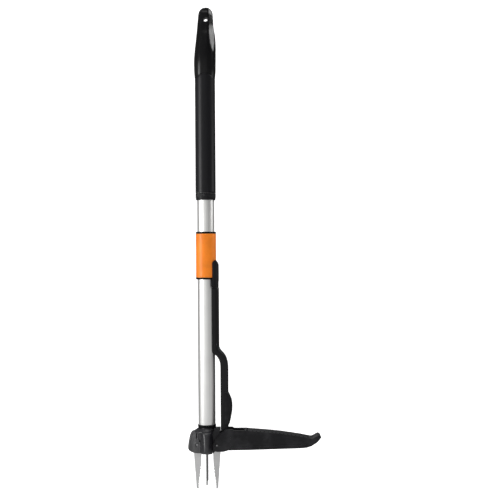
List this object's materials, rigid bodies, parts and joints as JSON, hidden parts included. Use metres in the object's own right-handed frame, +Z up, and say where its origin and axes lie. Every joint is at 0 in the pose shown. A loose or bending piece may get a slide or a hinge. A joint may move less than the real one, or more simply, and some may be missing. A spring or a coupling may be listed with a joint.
{
  "type": "stand up weeder",
  "caption": "Long-handled weed puller: a foot pedal levers on the ground, claws close round the root, and a sliding collar pushes the weed out.",
  "frame": {"origin": "centre of the ejector pad's flat underside, on the tube's axis, level with the underside of the head", "axes": "+Z up the tube towards the end cap, +X towards the foot pedal's toe, +Y towards the rear, the side that carries the screw heads"},
  "size_m": [0.2735, 0.0786, 0.9903],
  "materials": {
    "silver_tube": "satin silver anodised",
    "black_plastic": "fine moulded grain",
    "soft_black": "soft-touch",
    "gloss_black": "satin to gloss moulded",
    "orange_plastic": "satin moulded",
    "claw_steel": "stamped and tumbled stainless",
    "zinc_steel": "zinc plated",
    "pale_plastic": "natural acetal"
  },
  "bodies": {
    "shaft": {"shaft_tube": "silver_tube", "tube_top_bush": "pale_plastic", "tube_base_ring": "black_plastic", "tube_cross_bolt": "zinc_steel", "head_shell_front": "black_plastic", "head_shell_rear": "black_plastic", "head_neck_ring": "black_plastic", "head_screw_left": "zinc_steel", "head_screw_right": "zinc_steel", "head_screw_lower": "zinc_steel", "claw_pin_left": "zinc_steel", "claw_pin_front": "zinc_steel", "claw_pin_rear": "zinc_steel", "pedal_pivot_pin": "zinc_steel"},
    "handle": {"grip_core": "black_plastic", "grip_sleeve": "soft_black", "lock_collet": "pale_plastic", "end_cap": "gloss_black"},
    "handle_lock": {"lock_ring": "black_plastic"},
    "ejector": {"eject_collar": "orange_plastic", "collar_ring_top": "black_plastic", "collar_ring_bottom": "black_plastic", "collar_liner": "pale_plastic", "bar_lug": "black_plastic", "lug_screw": "zinc_steel", "eject_bar": "black_plastic", "bar_pad": "soft_black", "pad_screw": "zinc_steel", "crosshead": "zinc_steel", "crosshead_screw": "zinc_steel", "ejector_pad": "black_plastic", "link_pin": "zinc_steel"},
    "pedal": {"foot_pedal": "black_plastic", "pedal_tread": "soft_black", "pedal_bush_front": "pale_plastic", "pedal_bush_rear": "pale_plastic"},
    "left_claw": {"claw_left": "claw_steel"},
    "right_claw": {"claw_right": "claw_steel"},
    "front_claw": {"claw_front": "claw_steel"},
    "rear_claw": {"claw_rear": "claw_steel"}
  },
  "joints": [
    {"name": "handle_slide", "type": "slide", "parent": "shaft", "child": "handle", "axis": [0, 0, 1], "range_m": [0, 0.2]},
    {"name": "lock_twist", "type": "hinge", "parent": "handle", "child": "handle_lock", "pos_m": [0, 0, 0.529], "axis": [0, 0, 1], "range_deg": [0, 60]},
    {"name": "pedal_hinge", "type": "hinge", "parent": "shaft", "child": "pedal", "pos_m": [0.0205, 0, 0.018], "axis": [0, -1, 0], "range_deg": [0, 35]},
    {"name": "eject_slide", "type": "slide", "parent": "shaft", "child": "ejector", "axis": [0, 0, 1], "range_m": [0, 0.00992]},
    {"name": "claw_left_hinge", "type": "hinge", "parent": "shaft", "child": "left_claw", "pos_m": [-0.0204, 0, 0.018], "axis": [0, -1, 0], "range_deg": [0, 9.5]},
    {"name": "claw_right_hinge", "type": "hinge", "parent": "shaft", "child": "right_claw", "pos_m": [0.0205, 0, 0.018], "axis": [0, 1, 0], "range_deg": [0, 9.5]},
    {"name": "claw_front_hinge", "type": "hinge", "parent": "shaft", "child": "front_claw", "pos_m": [0, -0.0204, 0.018], "axis": [1, 0, 0], "range_deg": [0, 9.5]},
    {"name": "claw_rear_hinge", "type": "hinge", "parent": "shaft", "child": "rear_claw", "pos_m": [0, 0.0204, 0.018], "axis": [-1, 0, 0], "range_deg": [0, 9.5]}
  ],
  "couplings": [
    {"joint": "eject_slide", "follows": "pedal_hinge", "m_per_rad": 0.016229},
    {"joint": "claw_left_hinge", "follows": "pedal_hinge", "ratio": 0.27143},
    {"joint": "claw_right_hinge", "follows": "pedal_hinge", "ratio": 0.27143},
    {"joint": "claw_front_hinge", "follows": "pedal_hinge", "ratio": 0.27143},
    {"joint": "claw_rear_hinge", "follows": "pedal_hinge", "ratio": 0.27143}
  ]
}
